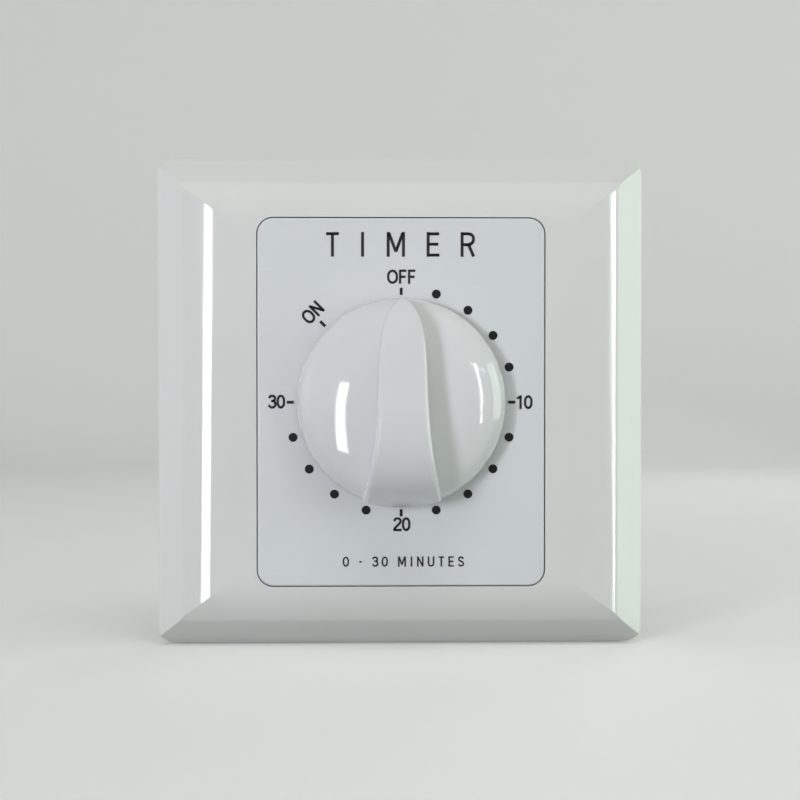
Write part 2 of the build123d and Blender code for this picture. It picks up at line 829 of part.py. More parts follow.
leg_x = terminal_x + terminal_width / 2
leg_foot = terminal_foot + end_shake
blade_front = blade_rear + blade_width
blade_middle = (blade_rear + blade_front) / 2
moving_face = -cam_lobe_reach - blade_gap
moving_contact_face = moving_face + contact_thick
fixed_contact_face = moving_contact_face + contact_opening
fixed_face = fixed_contact_face + contact_thick
fixed_blade_end = contact_x - contact_radius - blade_gap


def moving_contact_blade():
    underside = moving_face - blade_thick
    blade = bar(-leg_x - blade_thick, blade_tip, underside, moving_face, blade_rear, blade_front)
    blade += bar(-leg_x - blade_thick, -leg_x, leg_foot, moving_face, blade_rear, blade_front)
    return blade - upright(rivet_radius + seat_gap, underside, moving_face, contact_x, blade_middle)


def fixed_contact_blade():
    top = fixed_face + blade_thick
    blade = bar(fixed_blade_end, leg_x + blade_thick, fixed_face, top, blade_rear, blade_front)
    blade += bar(leg_x, leg_x + blade_thick, leg_foot, fixed_face + blade_thick, blade_rear, blade_front)
    return blade - upright(rivet_radius + seat_gap, fixed_face, top, contact_x, blade_middle)


def moving_contact():
    head = upright(contact_radius, moving_face, moving_contact_face, contact_x, blade_middle)
    stem = upright(rivet_radius, moving_face - blade_thick, moving_face, contact_x, blade_middle)
    return head + stem


def fixed_contact():
    head = upright(contact_radius, fixed_contact_face, fixed_face, contact_x, blade_middle)
    stem = upright(rivet_radius, fixed_face, fixed_face + blade_thick, contact_x, blade_middle)
    return head + stem


wire_z = terminal_rear + wire_height
clamp_y = terminal_foot + wire_depth / 2
clamp_tip = wire_z - wire_radius - clamp_tip_gap


def terminal_block():
    left = terminal_x - terminal_width / 2
    block = bar(left, left + terminal_width, terminal_foot, terminal_foot + terminal_length, terminal_rear,
                terminal_front)
    block -= upright(wire_radius, terminal_foot, terminal_foot + wire_depth, terminal_x, wire_z)
    return block - disc(clamp_radius + running_gap, terminal_rear, wire_z, (terminal_x, clamp_y))


def terminal_screw():
    length = clamp_tip - terminal_rear
    clamp = screw(length, clamp_head_radius, clamp_head_thick, clamp_radius)
    return Pos(terminal_x, clamp_y, terminal_rear) * Rot(180, 0, 0) * clamp


# Moulded carrier for the terminals: a plate with a barrier between them, a wall outside each contact leg
# and two bosses that reach the front plate
def terminal_carrier():
    half = carrier_boss_x + carrier_boss_radius
    carrier = bar(-half, half, carrier_foot, carrier_top, carrier_rear, carrier_front)
    wall_rear = terminal_rear - end_shake
    rib = carrier_barrier / 2
    carrier += bar(-rib, rib, carrier_foot, carrier_top, wall_rear, carrier_rear)
    wall_x = leg_x + blade_thick + end_shake
    wall = bar(wall_x, wall_x + carrier_wall, carrier_foot, carrier_top, wall_rear, carrier_rear)
    carrier += both_sides(wall)
    for spot in carrier_screw_spots:
        carrier += disc(carrier_boss_radius, carrier_rear, front_plate_rear, spot)
        hole_end = front_plate_front - carrier_screw_length - end_shake
        carrier -= disc(screw_radius, hole_end, front_plate_rear, spot)
    return carrier


def rear_housing():
    middle = (0, housing_middle)
    shell = slab(housing_width, housing_height, housing_corner, housing_rear, housing_front, middle)
    shell -= slab(housing_width - 2 * housing_wall, housing_height - 2 * housing_wall,
                  housing_corner - housing_wall / 2, housing_floor, housing_front, middle)
    for spot in pillar_spots:
        shell += disc(housing_boss_radius, housing_rear, rear_plate_rear, spot)
        shell -= disc(screw_radius + running_gap, housing_rear, rear_plate_rear, spot)
        shell -= disc(screw_head_radius + opening_gap, housing_rear, housing_screw_seat, spot)
    for side in (-1, 1):
        shell -= upright(entry_radius, housing_foot, carrier_foot, side * terminal_x, wire_z)
        shell -= disc(access_radius, housing_rear, housing_floor, (side * terminal_x, clamp_y))
    return shell


def yoke_screws():
    turned_round = Pos(0, 0, front_plate_rear) * Rot(180, 0, 0) * screw(yoke_screw_length)
    return [at(spot, turned_round) for spot in yoke_screw_spots]


def carrier_screws():
    placed = Pos(0, 0, front_plate_front) * screw(carrier_screw_length)
    return [at(spot, placed) for spot in carrier_screw_spots]


def housing_screws():
    turned_round = Pos(0, 0, housing_screw_seat) * Rot(180, 0, 0) * screw(housing_screw_length)
    return [at(spot, turned_round) for spot in pillar_spots]


os.makedirs("parts", exist_ok=True)

save("cover_frame", cover_frame())
save("mounting_frame", mounting_frame())
save("dial_panel", dial_panel())
save("dial_marks", *dial_marks())
save("knob", knob())
save("knob_clip", knob_clip())

save("front_plate", front_plate())
save("rear_plate", rear_plate())
save("plate_pillars", *plate_pillars())
save("pillar_nuts", *pillar_nuts())
save("shaft_bush", shaft_bush())

save("main_arbor", main_arbor())
save("main_wheel", main_wheel())
save("clutch_washer", clutch_washer())
save("retaining_ring", retaining_ring())
save("mainspring", mainspring())
save("spring_post", spring_post())
save("second_pinion", second_pinion())
save("second_wheel", second_wheel())
save("third_pinion", third_pinion())
save("third_wheel", third_wheel())
save("escape_pinion", escape_pinion())
save("escape_wheel", escape_wheel())
save("anchor_staff", staff(anchor_spot))
save("pallet_anchor", pallet_anchor())
save("balance_weight", balance_weight())
save("switch_cam", cam())
save("stop_pin", stop_pin())

save("moving_contact_blade", moving_contact_blade())
save("moving_contact", moving_contact())
save("fixed_contact_blade", fixed_contact_blade())
save("fixed_contact", fixed_contact())
save("terminal_carrier", terminal_carrier())
save("terminal_blocks", *both_sides(terminal_block()))
save("terminal_screws", *both_sides(terminal_screw()))

save("rear_housing", rear_housing())
save("yoke_screws", *yoke_screws())
save("carrier_screws", *carrier_screws())
save("housing_screws", *housing_screws())
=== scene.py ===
import json
import math

import bpy
from mathutils import Matrix, Vector


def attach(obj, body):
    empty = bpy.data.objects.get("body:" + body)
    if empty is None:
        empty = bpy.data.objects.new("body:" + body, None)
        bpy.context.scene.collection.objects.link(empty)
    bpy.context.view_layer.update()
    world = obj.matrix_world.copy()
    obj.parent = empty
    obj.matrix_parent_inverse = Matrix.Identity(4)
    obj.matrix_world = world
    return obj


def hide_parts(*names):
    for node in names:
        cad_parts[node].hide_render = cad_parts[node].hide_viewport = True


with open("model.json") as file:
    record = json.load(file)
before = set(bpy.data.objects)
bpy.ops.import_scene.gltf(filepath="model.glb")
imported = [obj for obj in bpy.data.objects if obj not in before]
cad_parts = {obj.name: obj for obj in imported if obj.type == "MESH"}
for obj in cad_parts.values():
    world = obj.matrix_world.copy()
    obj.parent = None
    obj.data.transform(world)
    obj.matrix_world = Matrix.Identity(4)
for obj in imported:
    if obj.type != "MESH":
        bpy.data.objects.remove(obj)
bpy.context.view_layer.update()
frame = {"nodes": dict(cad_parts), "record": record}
mm = 0.001
print("frame loaded:", len(frame["nodes"]), "nodes")


# sRGB hex to the linear values that the shaders take
def linear(hexColour):
    parts = [int(hexColour[place:place + 2], 16) / 255 for place in (1, 3, 5)]
    return [part / 12.92 if part <= 0.04045 else ((part + 0.055) / 1.055) ** 2.4 for part in parts] + [1.0]


# Adds a node: values set its own settings or its sockets, links join its sockets to others
def addNode(tree, kind, values=None, links=None):
    node = tree.nodes.new(kind)
    for name, value in (values or {}).items():
        if isinstance(name, str) and hasattr(node, name):
            setattr(node, name, value)
        else:
            node.inputs[name].default_value = value
    for name, source in (links or {}).items():
        tree.links.new(source, node.inputs[name])
    return node


def newMaterial(name):
    material = bpy.data.materials.new(name)
    material.use_nodes = True
    tree = material.node_tree
    return material, tree, tree.nodes["Principled BSDF"], addNode(tree, "ShaderNodeTexCoord").outputs["Object"]


# Moulded plastic: a colour that drifts slightly with the flow of the melt, the skin's fine orange peel, sheen that
# varies from handling, and hairline scuffs
def mouldedPlastic(name, look):
    material, tree, shader, place = newMaterial(name)
    drift = addNode(tree, "ShaderNodeTexNoise", {"Scale": 1000 / look["driftMm"], "Detail": 2.0}, {"Vector": place})
    tint = addNode(tree, "ShaderNodeMix", {"data_type": "RGBA", 6: linear(look["colour"]), 7: linear(look["tint"])},
                   {0: drift.outputs["Fac"]})
    peel = addNode(tree, "ShaderNodeTexNoise", {"Scale": 1000 / look["peelMm"], "Detail": 3.0, "Roughness": 0.45},
                   {"Vector": place})
    stretched = addNode(tree, "ShaderNodeMapping", {"Rotation": (0.3, 0.5, 0.9), "Scale": (1.0, 1.0, 14.0)},
                        {"Vector": place})
    hair = addNode(tree, "ShaderNodeTexNoise", {"Scale": 1000 / look["scuffMm"], "Detail": 1.0},
                   {"Vector": stretched.outputs["Vector"]})
    scuff = addNode(tree, "ShaderNodeMapRange", {"From Min": 0.70, "From Max": 0.78, "To Min": 0.0, "To Max": 1.0},
                    {"Value": hair.outputs["Fac"]})
    handled = addNode(tree, "ShaderNodeMapRange", {"From Min": 0.3, "From Max": 0.7, "To Min": look["rough"][0],
                      "To Max": look["rough"][1]}, {"Value": drift.outputs["Fac"]})
    rough = addNode(tree, "ShaderNodeMath", {"operation": "MULTIPLY_ADD", 1: look["scuffRough"]},
                    {0: scuff.outputs["Result"], 2: handled.outputs["Result"]})
    height = addNode(tree, "ShaderNodeMath", {"operation": "MULTIPLY_ADD", 1: -0.4},
                     {0: scuff.outputs["Result"], 2: peel.outputs["Fac"]})
    bump = addNode(tree, "ShaderNodeBump", {"Strength": look["bump"], "Distance": look["bumpMm"] * mm},
                   {"Height": height.outputs["Value"]})
    tree.links.new(tint.outputs[2], shader.inputs["Base Color"])
    tree.links.new(rough.outputs["Value"], shader.inputs["Roughness"])
    tree.links.new(bump.outputs["Normal"], shader.inputs["Normal"])
    shader.inputs["IOR"].default_value = look["ior"]
    return material


# Metal: rolling, turning or tumbling leaves fine lines or grain, with duller patches of handling and plating
def workedMetal(name, look):
    material, tree, shader, place = newMaterial(name)
    lay = addNode(tree, "ShaderNodeMapping", {"Scale": look["lay"]}, {"Vector": place})
    grain = addNode(tree, "ShaderNodeTexNoise", {"Scale": 1000 / look["grainMm"], "Detail": 4.0, "Roughness": 0.6},
                    {"Vector": lay.outputs["Vector"]})
    patch = addNode(tree, "ShaderNodeTexNoise", {"Scale": 1000 / look["patchMm"], "Detail": 2.0}, {"Vector": place})
    colour = addNode(tree, "ShaderNodeMix", {"data_type": "RGBA", 6: linear(look["colour"]), 7: linear(look["dull"])},
                     {0: patch.outputs["Fac"]})
    rough = addNode(tree, "ShaderNodeMapRange", {"From Min": 0.3, "From Max": 0.7, "To Min": look["rough"][0],
                    "To Max": look["rough"][1]}, {"Value": grain.outputs["Fac"]})
    bump = addNode(tree, "ShaderNodeBump", {"Strength": look["bump"], "Distance": 0.01 * mm},
                   {"Height": grain.outputs["Fac"]})
    tree.links.new(colour.outputs[2], shader.inputs["Base Color"])
    tree.links.new(rough.outputs["Result"], shader.inputs["Roughness"])
    tree.links.new(bump.outputs["Normal"], shader.inputs["Normal"])
    shader.inputs["Metallic"].default_value = 1.0
    return material


plasticLooks = {
    # Cover frame: ABS from a polished tool, a warm grey white; the finest gloss of the front
    "frame_plastic": ("polishedAbsFrame", {"colour": "#E9E9E8", "tint": "#E4E5E3", "driftMm": 22, "peelMm": 1.9,
                      "scuffMm": 5.0, "scuffRough": 0.12, "rough": (0.05, 0.10), "bump": 0.05, "bumpMm": 0.02,
                      "ior": 1.53}),
    # Dial panel: the same plastic with a trace of blue, flat and slightly duller from wiping
    "panel_plastic": ("polishedAbsPanel", {"colour": "#E7E9EC", "tint": "#E2E4E7", "driftMm": 18, "peelMm": 1.4,
                      "scuffMm": 4.0, "scuffRough": 0.14, "rough": (0.12, 0.19), "bump": 0.05, "bumpMm": 0.02,
                      "ior": 1.53}),
    # Knob: ABS, handled daily, so the sheen varies most here
    "knob_plastic": ("polishedAbsKnob", {"colour": "#E8E8EB", "tint": "#E2E2E5", "driftMm": 9, "peelMm": 1.6,
                     "scuffMm": 3.2, "scuffRough": 0.16, "rough": (0.05, 0.11), "bump": 0.06, "bumpMm": 0.02,
                     "ior": 1.53}),
    # Mounting frame: spark-eroded tool, so matte, with glass fibre that shows as a faint grain
    "yoke_plastic": ("glassFilledPolycarbonate", {"colour": "#D5D5D0", "tint": "#CBCBC5", "driftMm": 14,
                     "peelMm": 0.35, "scuffMm": 4.5, "scuffRough": 0.1, "rough": (0.42, 0.58), "bump": 0.25,
                     "bumpMm": 0.03, "ior": 1.58}),
    # Housing: black flame-retardant polyamide with an eroded grain of about 0.3 mm
    "housing_plastic": ("erodedPolyamide", {"colour": "#26272A", "tint": "#303135", "driftMm": 12, "peelMm": 0.3,
                        "scuffMm": 4.5, "scuffRough": 0.12, "rough": (0.44, 0.6), "bump": 0.3, "bumpMm": 0.03,
                        "ior": 1.53}),
    # Terminal carrier: brown phenolic, pressed, with darker filler flecks
    "carrier_plastic": ("pressedPhenolic", {"colour": "#5B3A28", "tint": "#3F2A20", "driftMm": 1.2, "peelMm": 0.4,
                        "scuffMm": 3.0, "scuffRough": 0.1, "rough": (0.3, 0.42), "bump": 0.12, "bumpMm": 0.02,
                        "ior": 1.6}),
    # Cam: natural acetal, waxy and faintly yellow
    "cam_plastic": ("naturalAcetal", {"colour": "#E6E0CE", "tint": "#DDD6C2", "driftMm": 6, "peelMm": 0.8,
                    "scuffMm": 2.5, "scuffRough": 0.1, "rough": (0.28, 0.38), "bump": 0.08, "bumpMm": 0.02,
                    "ior": 1.48}),
}
metalLooks = {
    # Sheet plates and pillars: bright zinc with a bluish cast, rolled lengthwise
    "plate_steel": ("zincPlatedSteel", {"colour": "#C4C6C4", "dull": "#AEB2B3", "lay": (1.0, 1.0, 12.0),
                    "grainMm": 1.6, "patchMm": 7, "rough": (0.26, 0.4), "bump": 0.2}),
    # Screws: nickel plate over tumbled steel, slightly warm
    "screw_steel": ("nickelPlatedSteel", {"colour": "#CFC9BE", "dull": "#B9B3A7", "lay": (1.0, 1.0, 1.0),
                    "grainMm": 0.5, "patchMm": 3, "rough": (0.2, 0.34), "bump": 0.15}),
    # Arbors and pinions: turned silver steel, with tool lines across the axis
    "shaft_steel": ("turnedSteel", {"colour": "#C2C3C6", "dull": "#A9ABB0", "lay": (1.0, 14.0, 1.0),
                    "grainMm": 0.9, "patchMm": 5, "rough": (0.16, 0.28), "bump": 0.2}),
    # Springs: strip blued by tempering
    "spring_steel": ("bluedSpringSteel", {"colour": "#5B6783", "dull": "#3D4456", "lay": (1.0, 10.0, 1.0),
                     "grainMm": 1.2, "patchMm": 4, "rough": (0.24, 0.36), "bump": 0.15}),
    # Wheels, bush and terminal blocks: stamped or turned brass, slightly tarnished
    "brass": ("stampedBrass", {"colour": "#D9B871", "dull": "#BF9A58", "lay": (1.0, 1.0, 9.0),
              "grainMm": 1.0, "patchMm": 4, "rough": (0.2, 0.36), "bump": 0.2}),
    # Contact blades: rolled phosphor bronze
    "contact_bronze": ("rolledBronze", {"colour": "#C98D5C", "dull": "#A97349", "lay": (12.0, 1.0, 1.0),
                       "grainMm": 1.0, "patchMm": 4, "rough": (0.22, 0.36), "bump": 0.18}),
    # Contact rivets: silver with a grey tarnish
    "contact_silver": ("silverRivet", {"colour": "#E6E4DF", "dull": "#C9C6BF", "lay": (1.0, 1.0, 1.0),
                       "grainMm": 0.6, "patchMm": 1.2, "rough": (0.14, 0.3), "bump": 0.1}),
}
finishes = {slot: mouldedPlastic(*entry) for slot, entry in plasticLooks.items()}
finishes.update({slot: workedMetal(*entry) for slot, entry in metalLooks.items()})

# Pad-printed ink: matt black lacquer, thin enough that its cover varies over about 0.3 mm
padInk, inkTree, inkShader, inkPlace = newMaterial("padPrintedInk")
inkCover = addNode(inkTree, "ShaderNodeTexNoise", {"Scale": 1000 / 0.3, "Detail": 3.0}, {"Vector": inkPlace})
inkColour = addNode(inkTree, "ShaderNodeMix", {"data_type": "RGBA", 6: linear("#0F0E10"), 7: linear("#1B1A1D")},
                    {0: inkCover.outputs["Fac"]})
inkRough = addNode(inkTree, "ShaderNodeMapRange", {"To Min": 0.32, "To Max": 0.5}, {"Value": inkCover.outputs["Fac"]})
inkTree.links.new(inkColour.outputs[2], inkShader.inputs["Base Color"])
inkTree.links.new(inkRough.outputs["Result"], inkShader.inputs["Roughness"])
finishes["dial_ink"] = padInk

for subpart in frame["record"]["subparts"]:
    node = frame["nodes"][subpart["node"]]
    finish = finishes[subpart["material_slot"]]
    if not node.material_slots:
        node.data.materials.append(finish)
    for slotOfNode in node.material_slots:
        slotOfNode.material = finish
print("materials:", len(finishes))


# Links a mesh as a piece that rides on a body
def addPiece(name, mesh, body):
    piece = bpy.data.objects.new(name, mesh)
    bpy.context.scene.collection.objects.link(piece)
    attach(piece, body)
    return piece


# The mesh of an object as its modifiers leave it
def settledMesh(source, name):
    bpy.context.view_layer.update()
    settled = source.evaluated_get(bpy.context.evaluated_depsgraph_get())
    mesh = bpy.data.meshes.new_from_object(settled)
    mesh.name = name
    return mesh


minuteMarks = {
    "Dot Radius": 0.78 * mm,
    "Dot Ring": 19.85 * mm,
    "Tick Ring": 19.35 * mm,
    "Tick Width": 0.5 * mm,
    "Tick Length": 1.25 * mm,
    "Ink Thickness": 0.05 * mm,
    "Panel Face": 9.0 * mm,
    "Mark Count": 16,          # one mark for every 2 minutes, 0 to 30
    "Degrees Apart": 18.0,
    "Marks Per Tick": 5,
    "Always On Angle": -45.0,  # clockwise from the top
}


# The printed ring: a tick at OFF and every 10 minutes, a dot at each mark between, and one tick for always on
def minuteMarkTree(name, sizes, ink):
    tree = bpy.data.node_groups.new(name, "GeometryNodeTree")
    for label, value in sizes.items():
        kind = "NodeSocketInt" if isinstance(value, int) else "NodeSocketFloat"
        tree.interface.new_socket(name=label, in_out="INPUT", socket_type=kind)
    tree.interface.new_socket(name="Geometry", in_out="OUTPUT", socket_type="NodeSocketGeometry")
    given = addNode(tree, "NodeGroupInput").outputs
    order = addNode(tree, "GeometryNodeInputIndex").outputs["Index"]
    radians = addNode(tree, "ShaderNodeMath", {"operation": "RADIANS"}, {0: given["Degrees Apart"]})
    turn = addNode(tree, "ShaderNodeMath", {"operation": "MULTIPLY"}, {0: order, 1: radians.outputs[0]}).outputs[0]
    loneTurn = addNode(tree, "ShaderNodeMath", {"operation": "RADIANS"}, {0: given["Always On Angle"]}).outputs[0]
    remainder = addNode(tree, "ShaderNodeMath", {"operation": "MODULO"}, {0: order, 1: given["Marks Per Tick"]})
    isTick = addNode(tree, "FunctionNodeCompare", {"data_type": "FLOAT", "operation": "LESS_THAN", 1: 0.5},
                     {0: remainder.outputs[0]}).outputs[0]
    isDot = addNode(tree, "FunctionNodeBooleanMath", {"operation": "NOT"}, {0: isTick}).outputs[0]
    half = addNode(tree, "ShaderNodeMath", {"operation": "MULTIPLY_ADD", 1: 0.5},
                   {0: given["Ink Thickness"], 2: given["Panel Face"]})
    depth = addNode(tree, "ShaderNodeMath", {"operation": "MULTIPLY", 1: -1.0}, {0: half.outputs[0]}).outputs[0]
    disc = addNode(tree, "GeometryNodeMeshCylinder", {"Vertices": 48},
                   {"Radius": given["Dot Radius"], "Depth": given["Ink Thickness"]})
    dot = addNode(tree, "GeometryNodeTransform", {"Rotation": (math.pi / 2, 0.0, 0.0)},
                  {"Geometry": disc.outputs["Mesh"]})
    tickSize = addNode(tree, "ShaderNodeCombineXYZ", None, {"X": given["Tick Width"], "Y": given["Ink Thickness"],
                       "Z": given["Tick Length"]})
    tick = addNode(tree, "GeometryNodeMeshCube", None, {"Size": tickSize.outputs["Vector"]})
    rings = []
    for ring, count, angle, chosen, shape in (
            ("Dot Ring", given["Mark Count"], turn, isDot, dot.outputs["Geometry"]),
            ("Tick Ring", given["Mark Count"], turn, isTick, tick.outputs["Mesh"]),
            ("Tick Ring", None, loneTurn, None, tick.outputs["Mesh"])):
        sine = addNode(tree, "ShaderNodeMath", {"operation": "SINE"}, {0: angle})
        cosine = addNode(tree, "ShaderNodeMath", {"operation": "COSINE"}, {0: angle})
        across = addNode(tree, "ShaderNodeMath", {"operation": "MULTIPLY"}, {0: sine.outputs[0], 1: given[ring]})
        up = addNode(tree, "ShaderNodeMath", {"operation": "MULTIPLY"}, {0: cosine.outputs[0], 1: given[ring]})
        spot = addNode(tree, "ShaderNodeCombineXYZ", None, {"X": across.outputs[0], "Y": depth, "Z": up.outputs[0]})
        points = addNode(tree, "GeometryNodePoints", None, {"Position": spot.outputs["Vector"]})
        if count is not None:
            tree.links.new(count, points.inputs["Count"])
        lean = addNode(tree, "ShaderNodeCombineXYZ", None, {"Y": angle})
        placed = addNode(tree, "GeometryNodeInstanceOnPoints", None, {"Points": points.outputs["Points"],
                         "Instance": shape, "Rotation": lean.outputs["Vector"]})
        if chosen is not None:
            tree.links.new(chosen, placed.inputs["Selection"])
        rings.append(placed.outputs["Instances"])
    joined = addNode(tree, "GeometryNodeJoinGeometry")
    for instances in rings:
        tree.links.new(instances, joined.inputs["Geometry"])
    real = addNode(tree, "GeometryNodeRealizeInstances", None, {"Geometry": joined.outputs["Geometry"]})
    inked = addNode(tree, "GeometryNodeSetMaterial", {"Material": ink}, {"Geometry": real.outputs["Geometry"]})
    addNode(tree, "NodeGroupOutput", None, {"Geometry": inked.outputs["Geometry"]})
    return tree


marksTree = minuteMarkTree("minuteMarks", minuteMarks, padInk)
marksSource = bpy.data.objects.new("minuteMarksSource", bpy.data.meshes.new("minuteMarksSource"))
bpy.context.scene.collection.objects.link(marksSource)
marksModifier = marksSource.modifiers.new("minuteMarks", "NODES")
marksModifier.node_group = marksTree
for socket in marksTree.interface.items_tree:
    if socket.in_out == "INPUT":
        marksModifier[socket.identifier] = minuteMarks[socket.name]
marksMesh = settledMesh(marksSource, "printedMarks")
bpy.data.objects.remove(marksSource)
marksMesh.materials.clear()
marksMesh.materials.append(padInk)
printedMarks = addPiece("printed_marks", marksMesh, "wall_plate")
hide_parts("dial_marks")
print("printed marks:", len(marksMesh.polygons), "faces")

# Centre lines of plain lettering in a box one high, with each sign's own width: bent and round lines are smooth,
# straight ones aren't
lettering = {
    "0": (0.63, [("round", [(0.0, 0.42), (-0.2, 0.24), (-0.225, 0.0), (-0.2, -0.24), (0.0, -0.42), (0.2, -0.24),
                            (0.225, 0.0), (0.2, 0.24)])]),
    "1": (0.63, [("straight", [(0.07, -0.5), (0.07, 0.5)]),
                 ("straight", [(0.09, 0.43), (-0.05, 0.33), (-0.19, 0.27)])]),
    "2": (0.63, [("bent", [(-0.23, 0.22), (-0.17, 0.37), (0.0, 0.42), (0.18, 0.35), (0.21, 0.19), (0.12, 0.03),
                           (-0.07, -0.16), (-0.2, -0.31), (-0.25, -0.47)]),
                 ("straight", [(-0.3, -0.42), (0.3, -0.42)])]),
    "3": (0.63, [("bent", [(-0.22, 0.25), (-0.13, 0.39), (0.03, 0.42), (0.18, 0.34), (0.18, 0.15), (0.07, 0.06),
                           (-0.07, 0.05)]),
                 ("bent", [(-0.07, 0.05), (0.12, 0.03), (0.22, -0.1), (0.21, -0.3), (0.05, -0.42), (-0.14, -0.38),
                           (-0.24, -0.24)])]),
    "T": (0.66, [("straight", [(-0.26, 0.43), (0.26, 0.43)]), ("straight", [(0.0, 0.4), (0.0, -0.5)])]),
    "I": (0.34, [("straight", [(0.0, -0.5), (0.0, 0.5)])]),
    "M": (0.92, [("straight", [(-0.31, -0.5), (-0.31, 0.5)]), ("straight", [(0.31, -0.5), (0.31, 0.5)]),
                 ("straight", [(-0.28, 0.46), (0.0, -0.3)]), ("straight", [(0.28, 0.46), (0.0, -0.3)])]),
    "E": (0.66, [("straight", [(-0.2, -0.5), (-0.2, 0.5)]), ("straight", [(-0.2, 0.43), (0.25, 0.43)]),
                 ("straight", [(-0.2, 0.01), (0.21, 0.01)]), ("straight", [(-0.2, -0.43), (0.26, -0.43)])]),
    "R": (0.7, [("straight", [(-0.22, -0.5), (-0.22, 0.5)]), ("straight", [(0.04, 0.0), (0.25, -0.49)]),
                ("bent", [(-0.22, 0.43), (0.04, 0.43), (0.18, 0.38), (0.24, 0.22), (0.18, 0.06), (0.04, 0.0),
                          (-0.22, 0.0)])]),
    "O": (0.8, [("round", [(0.0, 0.42), (-0.23, 0.3), (-0.31, 0.0), (-0.23, -0.3), (0.0, -0.42), (0.23, -0.3),
                           (0.31, 0.0), (0.23, 0.3)])]),
    "F": (0.62, [("straight", [(-0.19, -0.5), (-0.19, 0.5)]), ("straight", [(-0.19, 0.43), (0.25, 0.43)]),
                 ("straight", [(-0.19, 0.0), (0.2, 0.0)])]),
    "N": (0.76, [("straight", [(-0.24, -0.5), (-0.24, 0.5)]), ("straight", [(0.24, -0.5), (0.24, 0.5)]),
                 ("straight", [(-0.24, 0.44), (0.24, -0.44)])]),
    "U": (0.74, [("bent", [(-0.24, 0.5), (-0.24, 0.1), (-0.235, -0.18), (-0.17, -0.36), (0.0, -0.42), (0.17, -0.36),
                           (0.235, -0.18), (0.24, 0.1), (0.24, 0.5)])]),
    "S": (0.66, [("bent", [(0.22, 0.26), (0.13, 0.38), (-0.02, 0.42), (-0.17, 0.36), (-0.21, 0.21), (-0.12, 0.08),
                           (0.05, 0.0), (0.19, -0.1), (0.22, -0.25), (0.14, -0.38), (0.0, -0.42), (-0.15, -0.38),
                           (-0.24, -0.25)])]),
    "-": (0.42, [("straight", [(-0.13, -0.02), (0.13, -0.02)])]),
    " ": (0.3, []),
}
legends = {
    # printed words: (name, centre across and up in mm, height in mm, turn in degrees, stroke width, letter gap)
    "OFF": ("legend_off", (0.0, 21.9), 2.45, 0, 0.165, 0.02),
    "ON": ("legend_on", (-15.5, 15.6), 2.5, 45, 0.17, 0.02),
    "10": ("legend_10", (21.6, 0.0), 2.4, 0, 0.17, 0.0),
    "20": ("legend_20", (0.1, -21.35), 2.4, 0, 0.17, 0.0),
    "30": ("legend_30", (-21.75, 0.1), 2.4, 0, 0.17, 0.0),
    "TIMER": ("legend_timer", (-0.1, 27.5), 4.3, 0, 0.12, 0.72),
    "0 - 30 MINUTES": ("legend_minutes", (0.4, -27.9), 1.8, 0, 0.15, 0.3),
}
legendThickness = minuteMarks["Ink Thickness"]
strokeDepth = 0.05  # of a stroke while its sign is one high; the word is then pressed to the ink's thickness


# An ink stroke along each centre line, with the stroke's width and thickness as named inputs
def inkStrokeTree(name, ink):
    tree = bpy.data.node_groups.new(name, "GeometryNodeTree")
    tree.interface.new_socket(name="Geometry", in_out="INPUT", socket_type="NodeSocketGeometry")
    tree.interface.new_socket(name="Stroke Width", in_out="INPUT", socket_type="NodeSocketFloat")
    tree.interface.new_socket(name="Ink Thickness", in_out="INPUT", socket_type="NodeSocketFloat")
    tree.interface.new_socket(name="Geometry", in_out="OUTPUT", socket_type="NodeSocketGeometry")
    given = addNode(tree, "NodeGroupInput").outputs
    upright = addNode(tree, "GeometryNodeSetCurveNormal", {"mode": "Z_UP"}, {"Curve": given["Geometry"]})
    section = addNode(tree, "GeometryNodeCurvePrimitiveQuadrilateral", None,
                      {"Width": given["Stroke Width"], "Height": given["Ink Thickness"]})
    stroke = addNode(tree, "GeometryNodeCurveToMesh", {"Fill Caps": True},
                     {"Curve": upright.outputs["Curve"], "Profile Curve": section.outputs["Curve"]})
    real = addNode(tree, "GeometryNodeRealizeInstances", None, {"Geometry": stroke.outputs["Mesh"]})
    inked = addNode(tree, "GeometryNodeSetMaterial", {"Material": ink}, {"Geometry": real.outputs["Geometry"]})
    addNode(tree, "NodeGroupOutput", None, {"Geometry": inked.outputs["Geometry"]})
    return tree


strokeTree = inkStrokeTree("inkStroke", padInk)


